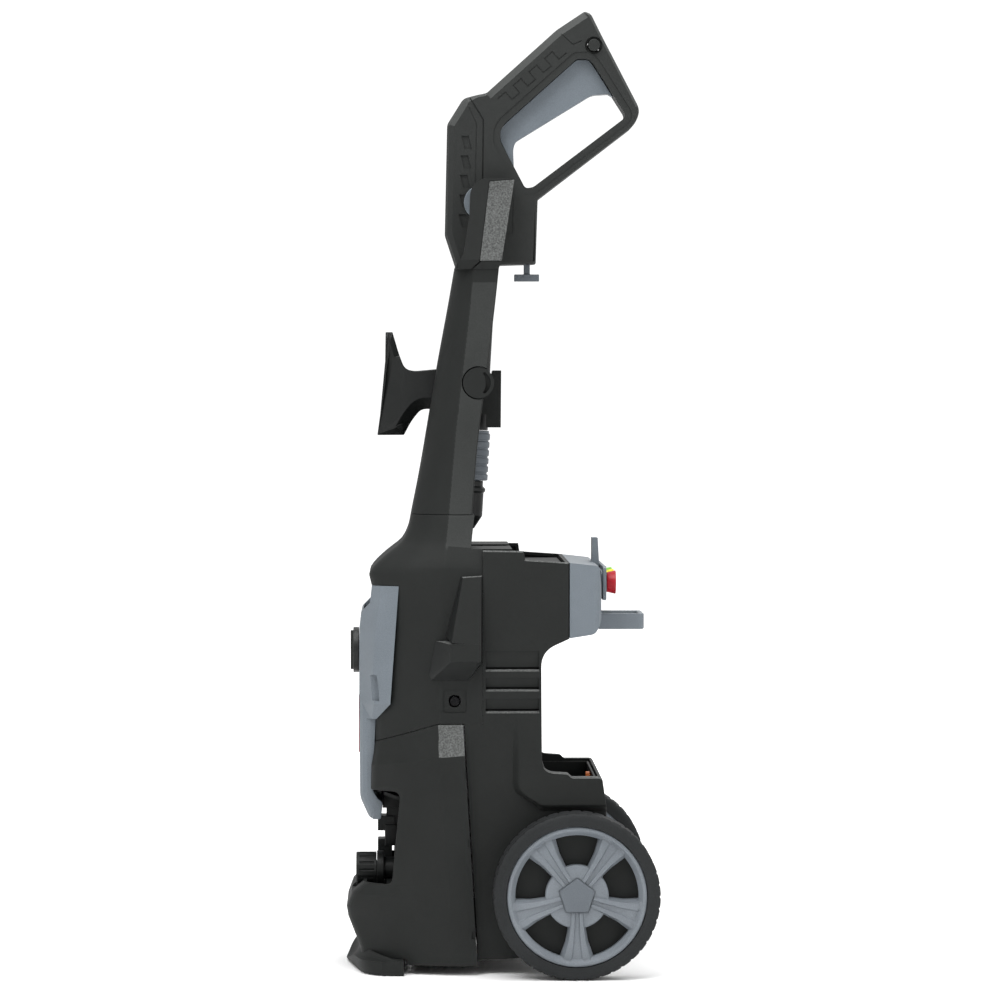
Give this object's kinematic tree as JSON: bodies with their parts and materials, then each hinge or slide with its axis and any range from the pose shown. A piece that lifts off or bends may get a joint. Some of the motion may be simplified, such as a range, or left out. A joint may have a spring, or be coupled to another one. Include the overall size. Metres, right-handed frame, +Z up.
{
  "type": "pressure washer",
  "caption": "Upright wheeled electric pressure washer with a tower handle, a trigger gun seated between its arms, a stowed lance, quick-change nozzle tips and an accessory bin.",
  "frame": {"origin": "centre of the footprint box on the floor, under the machine", "axes": "+Z up, the machine's front with its switch faces -Y, the wheels are towards +Y, +X is the machine's left as seen from its front"},
  "size_m": [0.3, 0.284, 0.8768],
  "materials": {
    "casing": "spark-eroded matt black",
    "trim_black": "smooth moulded black",
    "knob_black": "satin black",
    "gun_black": "fine-grained dark grey-black",
    "grip_black": "coarse-grained grip",
    "casing_grey": "satin moulded grey",
    "trigger_grey": "satin moulded grey",
    "collar_grey": "satin moulded dark grey",
    "wheel_grey": "satin moulded grey",
    "tyre": "moulded tread",
    "plug_orange": "moulded",
    "nozzle_red": "moulded",
    "nozzle_yellow": "moulded",
    "nozzle_green": "moulded",
    "nozzle_white": "moulded",
    "steel": "turned",
    "rotor": "laminated core with copper windings",
    "cast": "die-cast",
    "brass": "machined"
  },
  "bodies": {
    "chassis": {"rear_housing": "casing", "front_cover": "casing", "front_skirt": "casing", "top_deck": "casing", "tower_shell": "casing", "base_foot": "casing", "side_pod_right": "casing", "side_pod_left": "casing", "cord_hook": "casing", "lance_bracket": "casing", "accessory_bin": "casing", "fitting_bay": "trim_black", "switch_box": "trim_black", "base_plate": "trim_black", "inlet_stub": "trim_black", "outlet_fitting": "trim_black", "capacitor": "trim_black", "handle_grip_right": "grip_black", "handle_grip_left": "grip_black", "front_panel": "casing_grey", "rear_panel": "casing_grey", "nozzle_rack": "casing_grey", "rear_hose_hook": "casing_grey", "holster_pad_right": "casing_grey", "holster_pad_left": "casing_grey", "bin_plug": "plug_orange", "axle": "steel", "side_screw_right": "steel", "side_screw_left": "steel", "motor_can": "steel", "pump_body": "cast", "pump_head": "cast"},
    "wheel_unit_right": {"tyre_right": "tyre", "wheel_right": "wheel_grey", "hub_cap_right": "wheel_grey"},
    "wheel_unit_left": {"tyre_left": "tyre", "wheel_left": "wheel_grey", "hub_cap_left": "wheel_grey"},
    "knob": {"switch_knob": "knob_black"},
    "gun": {"gun_body": "gun_black", "gun_valve": "brass"},
    "trigger": {"gun_trigger": "trigger_grey"},
    "lock": {"lock_button": "knob_black"},
    "clip": {"hose_clip": "trigger_grey"},
    "lance": {"lance_body": "trim_black", "lance_collar": "collar_grey", "lance_nozzle": "trim_black", "lance_tip": "steel"},
    "tip_red": {"nozzle_red": "nozzle_red"},
    "tip_yellow": {"nozzle_yellow": "nozzle_yellow"},
    "tip_green": {"nozzle_green": "nozzle_green"},
    "tip_white": {"nozzle_white": "nozzle_white"},
    "nut": {"inlet_nut": "trim_black"},
    "rotor": {"motor_rotor": "rotor", "motor_fan": "trim_black", "wobble_plate": "steel"},
    "plunger_1": {"piston_1": "steel"},
    "plunger_2": {"piston_2": "steel"},
    "plunger_3": {"piston_3": "steel"}
  },
  "joints": [
    {"name": "wheel_spin_right", "type": "hinge", "parent": "chassis", "child": "wheel_unit_right", "pos_m": [0.133, 0.067, 0.075], "axis": [1, 0, 0], "continuous": true},
    {"name": "wheel_spin_left", "type": "hinge", "parent": "chassis", "child": "wheel_unit_left", "pos_m": [-0.133, 0.067, 0.075], "axis": [1, 0, 0], "continuous": true},
    {"name": "switch_turn", "type": "hinge", "parent": "chassis", "child": "knob", "pos_m": [0, -0.13, 0.288], "axis": [0, 1, 0], "range_deg": [0, 90]},
    {"name": "gun_lift", "type": "slide", "parent": "chassis", "child": "gun", "axis": [0, 0, 1], "range_m": [0, 0.12]},
    {"name": "trigger_pull", "type": "hinge", "parent": "gun", "child": "trigger", "pos_m": [0, -0.0055, 0.766], "axis": [1, 0, 0], "range_deg": [0, 11], "stiffness_Nm_per_rad": 0.6, "springref_deg": -14.32},
    {"name": "lock_slide", "type": "slide", "parent": "gun", "child": "lock", "axis": [-1, 0, 0], "range_m": [0, 0.004]},
    {"name": "hose_clip_pull", "type": "slide", "parent": "gun", "child": "clip", "axis": [0, 0, -1], "range_m": [0, 0.008]},
    {"name": "lance_pull", "type": "slide", "parent": "chassis", "child": "lance", "axis": [0, 1, 0], "range_m": [0, 0.06]},
    {"name": "tip_pull_red", "type": "slide", "parent": "chassis", "child": "tip_red", "axis": [0, 1, 0], "range_m": [0, 0.02]},
    {"name": "tip_pull_yellow", "type": "slide", "parent": "chassis", "child": "tip_yellow", "axis": [0, 1, 0], "range_m": [0, 0.02]},
    {"name": "tip_pull_green", "type": "slide", "parent": "chassis", "child": "tip_green", "axis": [0, 1, 0], "range_m": [0, 0.02]},
    {"name": "tip_pull_white", "type": "slide", "parent": "chassis", "child": "tip_white", "axis": [0, 1, 0], "range_m": [0, 0.02]},
    {"name": "nut_turn", "type": "hinge", "parent": "chassis", "child": "nut", "pos_m": [0.026, -0.12, 0.0877], "axis": [0, 1, 0], "continuous": true},
    {"name": "motor_spin", "type": "hinge", "parent": "chassis", "child": "rotor", "pos_m": [0, -0.035, 0.27], "axis": [0, 0, 1], "continuous": true},
    {"name": "piston_stroke_1", "type": "slide", "parent": "chassis", "child": "plunger_1", "axis": [0, 0, -1], "range_m": [0, 0.0049], "stiffness_N_per_m": 2000, "springref_m": -0.001},
    {"name": "piston_stroke_2", "type": "slide", "parent": "chassis", "child": "plunger_2", "axis": [0, 0, -1], "range_m": [0, 0.0049], "stiffness_N_per_m": 2000, "springref_m": -0.001},
    {"name": "piston_stroke_3", "type": "slide", "parent": "chassis", "child": "plunger_3", "axis": [0, 0, -1], "range_m": [0, 0.0049], "stiffness_N_per_m": 2000, "springref_m": -0.001}
  ]
}
